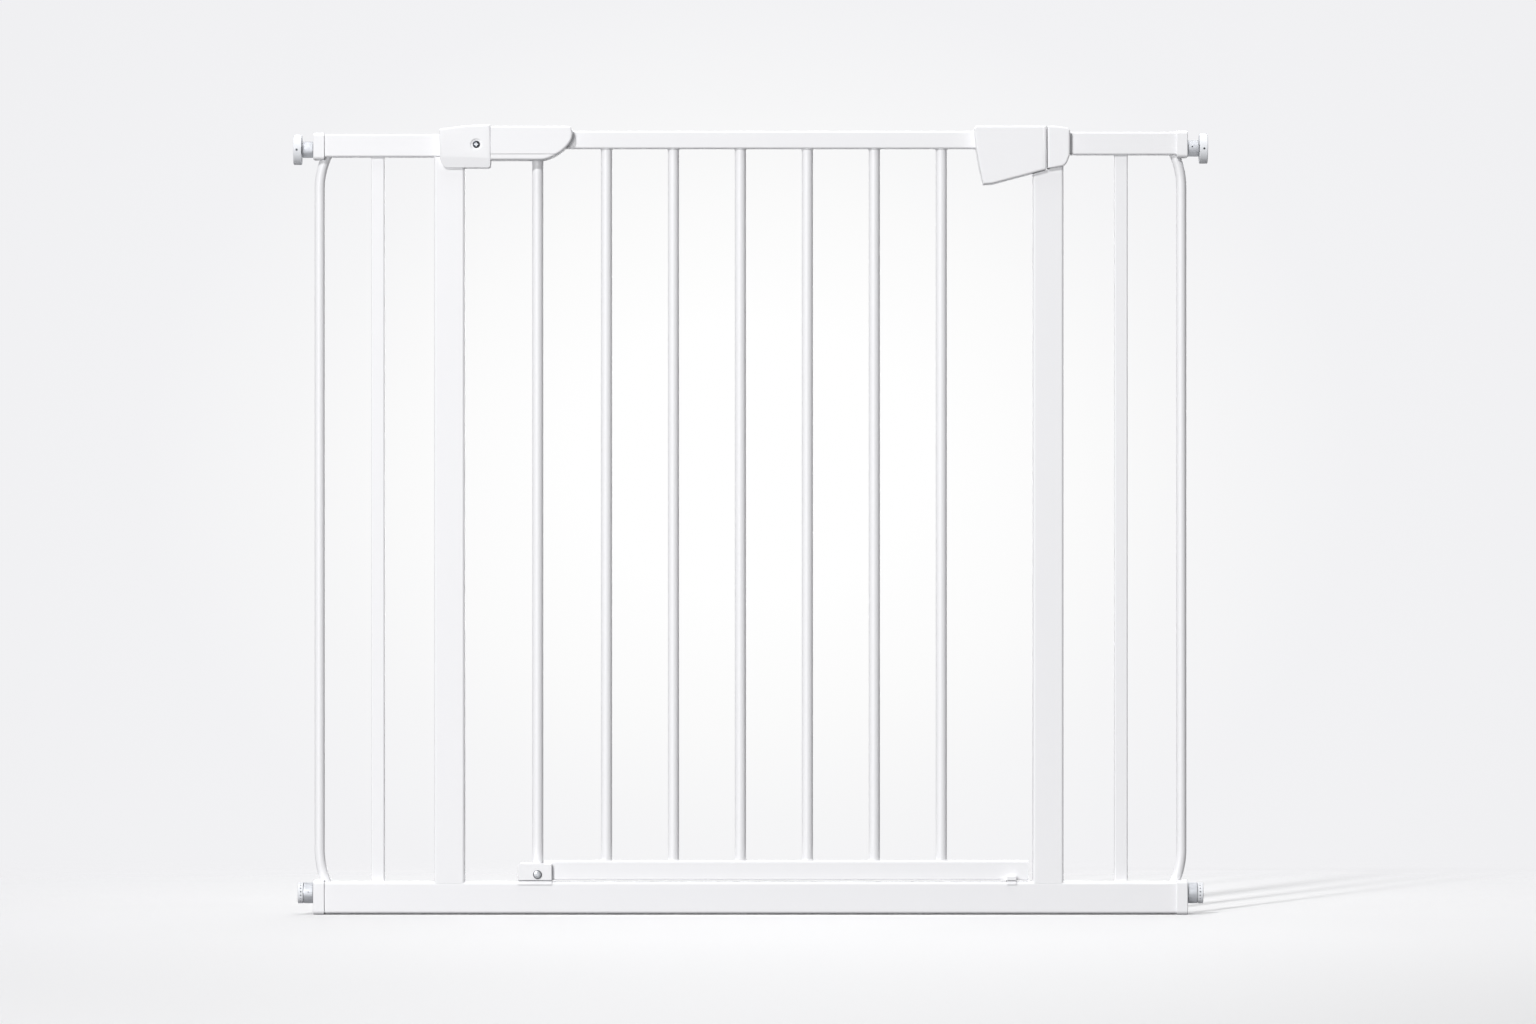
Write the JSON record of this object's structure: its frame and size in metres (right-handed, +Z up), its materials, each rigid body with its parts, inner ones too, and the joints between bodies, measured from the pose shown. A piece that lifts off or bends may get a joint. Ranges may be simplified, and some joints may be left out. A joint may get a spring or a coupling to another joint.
{
  "type": "pet gate",
  "caption": "Pressure-fit steel pet gate for a doorway, with screw adjusters against both walls and a barred leaf that unlatches, lifts and swings both ways.",
  "frame": {"origin": "on the floor under the middle of the gate, midway between the wall pads and between its front and rear faces", "axes": "+X across the doorway from the hinge side to the latch side, +Y through the doorway away from the front, +Z up"},
  "size_m": [0.8992, 0.036, 0.7764],
  "materials": {
    "painted_steel": "satin white powder coat",
    "moulded_plastic": "white, fine matt texture",
    "bearing_plastic": "smooth, off-white",
    "pad_rubber": "soft matt, white",
    "plated_steel": "zinc plated",
    "spring_steel": "drawn wire",
    "dark_steel": "blackened"
  },
  "bodies": {
    "frame": {"bottom_rail": "painted_steel", "hinge_post": "painted_steel", "latch_post": "painted_steel", "left_top_rail": "painted_steel", "right_top_rail": "painted_steel", "left_side_bar": "painted_steel", "right_side_bar": "painted_steel", "left_outer_bar": "painted_steel", "right_outer_bar": "painted_steel", "top_left_cap": "moulded_plastic", "top_right_cap": "moulded_plastic", "bottom_left_cap": "moulded_plastic", "bottom_right_cap": "moulded_plastic", "hinge_housing_front": "moulded_plastic", "hinge_housing_rear": "moulded_plastic", "hinge_housing_screw": "dark_steel", "hinge_arm": "moulded_plastic", "hinge_bush": "bearing_plastic", "lower_hinge_base": "moulded_plastic", "lower_hinge_pin": "plated_steel", "bottom_strike": "moulded_plastic", "strike_front": "moulded_plastic", "strike_rear": "moulded_plastic", "strike_screw": "dark_steel"},
    "hinge_hub": {"hinge_collar": "bearing_plastic", "closing_spring": "spring_steel"},
    "leaf": {"hinge_bar": "painted_steel", "leaf_top_rail": "painted_steel", "leaf_bottom_rail": "painted_steel", "leaf_bar_1": "painted_steel", "leaf_bar_2": "painted_steel", "leaf_bar_3": "painted_steel", "leaf_bar_4": "painted_steel", "leaf_bar_5": "painted_steel", "leaf_bar_6": "painted_steel", "leaf_rail_plug": "moulded_plastic", "hinge_block": "plated_steel", "hinge_cover_front": "moulded_plastic", "hinge_cover_rear": "moulded_plastic", "lower_hinge_cap": "moulded_plastic", "lower_hinge_screw": "dark_steel", "bottom_catch": "moulded_plastic", "handle_front": "moulded_plastic", "handle_rear": "moulded_plastic", "handle_screw": "dark_steel", "button_spring": "spring_steel"},
    "button": {"thumb_button": "moulded_plastic"},
    "bolt": {"latch_bolt": "plated_steel"},
    "top_left_wheel": {"top_left_nut": "plated_steel"},
    "top_right_wheel": {"top_right_nut": "plated_steel"},
    "bottom_left_wheel": {"bottom_left_nut": "plated_steel"},
    "bottom_right_wheel": {"bottom_right_nut": "plated_steel"},
    "top_left_foot": {"top_left_spindle": "plated_steel", "top_left_pad": "pad_rubber"},
    "top_right_foot": {"top_right_spindle": "plated_steel", "top_right_pad": "pad_rubber"},
    "bottom_left_foot": {"bottom_left_spindle": "plated_steel", "bottom_left_pad": "pad_rubber"},
    "bottom_right_foot": {"bottom_right_spindle": "plated_steel", "bottom_right_pad": "pad_rubber"}
  },
  "joints": [
    {"name": "leaf_swing", "type": "hinge", "parent": "frame", "child": "hinge_hub", "pos_m": [-0.2094, 0, 0.745], "axis": [0, 0, 1], "range_deg": [-90, 90], "stiffness_Nm_per_rad": 1.5},
    {"name": "leaf_lift", "type": "slide", "parent": "hinge_hub", "child": "leaf", "axis": [0, 0, 1], "range_m": [0, 0.01]},
    {"name": "button_press", "type": "slide", "parent": "leaf", "child": "button", "axis": [0, 0, -1], "range_m": [0, 0.005], "stiffness_N_per_m": 300, "springref_m": -0.004, "deforming": ["button_spring"]},
    {"name": "bolt_slide", "type": "slide", "parent": "leaf", "child": "bolt", "axis": [-1, 0, 0], "range_m": [0, 0.005]},
    {"name": "top_left_nut_turn", "type": "hinge", "parent": "frame", "child": "top_left_wheel", "pos_m": [-0.4357, 0, 0.7523], "axis": [-1, 0, 0], "range_deg": [0, 2880]},
    {"name": "top_left_foot_slide", "type": "slide", "parent": "frame", "child": "top_left_foot", "axis": [-1, 0, 0], "range_m": [0, 0.024]},
    {"name": "top_right_nut_turn", "type": "hinge", "parent": "frame", "child": "top_right_wheel", "pos_m": [0.4357, 0, 0.7536], "axis": [1, 0, 0], "range_deg": [0, 2880]},
    {"name": "top_right_foot_slide", "type": "slide", "parent": "frame", "child": "top_right_foot", "axis": [1, 0, 0], "range_m": [0, 0.024]},
    {"name": "bottom_left_nut_turn", "type": "hinge", "parent": "frame", "child": "bottom_left_wheel", "pos_m": [-0.435, 0, 0.021], "axis": [-1, 0, 0], "range_deg": [0, 2880]},
    {"name": "bottom_left_foot_slide", "type": "slide", "parent": "frame", "child": "bottom_left_foot", "axis": [-1, 0, 0], "range_m": [0, 0.024]},
    {"name": "bottom_right_nut_turn", "type": "hinge", "parent": "frame", "child": "bottom_right_wheel", "pos_m": [0.435, 0, 0.021], "axis": [1, 0, 0], "range_deg": [0, 2880]},
    {"name": "bottom_right_foot_slide", "type": "slide", "parent": "frame", "child": "bottom_right_foot", "axis": [1, 0, 0], "range_m": [0, 0.024]}
  ],
  "couplings": [
    {"joint": "bolt_slide", "follows": "button_press", "ratio": 1},
    {"joint": "top_left_nut_turn", "follows": "top_left_foot_slide", "rad_per_m": 2094.4},
    {"joint": "top_right_nut_turn", "follows": "top_right_foot_slide", "rad_per_m": 2094.4},
    {"joint": "bottom_left_nut_turn", "follows": "bottom_left_foot_slide", "rad_per_m": 2094.4},
    {"joint": "bottom_right_nut_turn", "follows": "bottom_right_foot_slide", "rad_per_m": 2094.4}
  ]
}
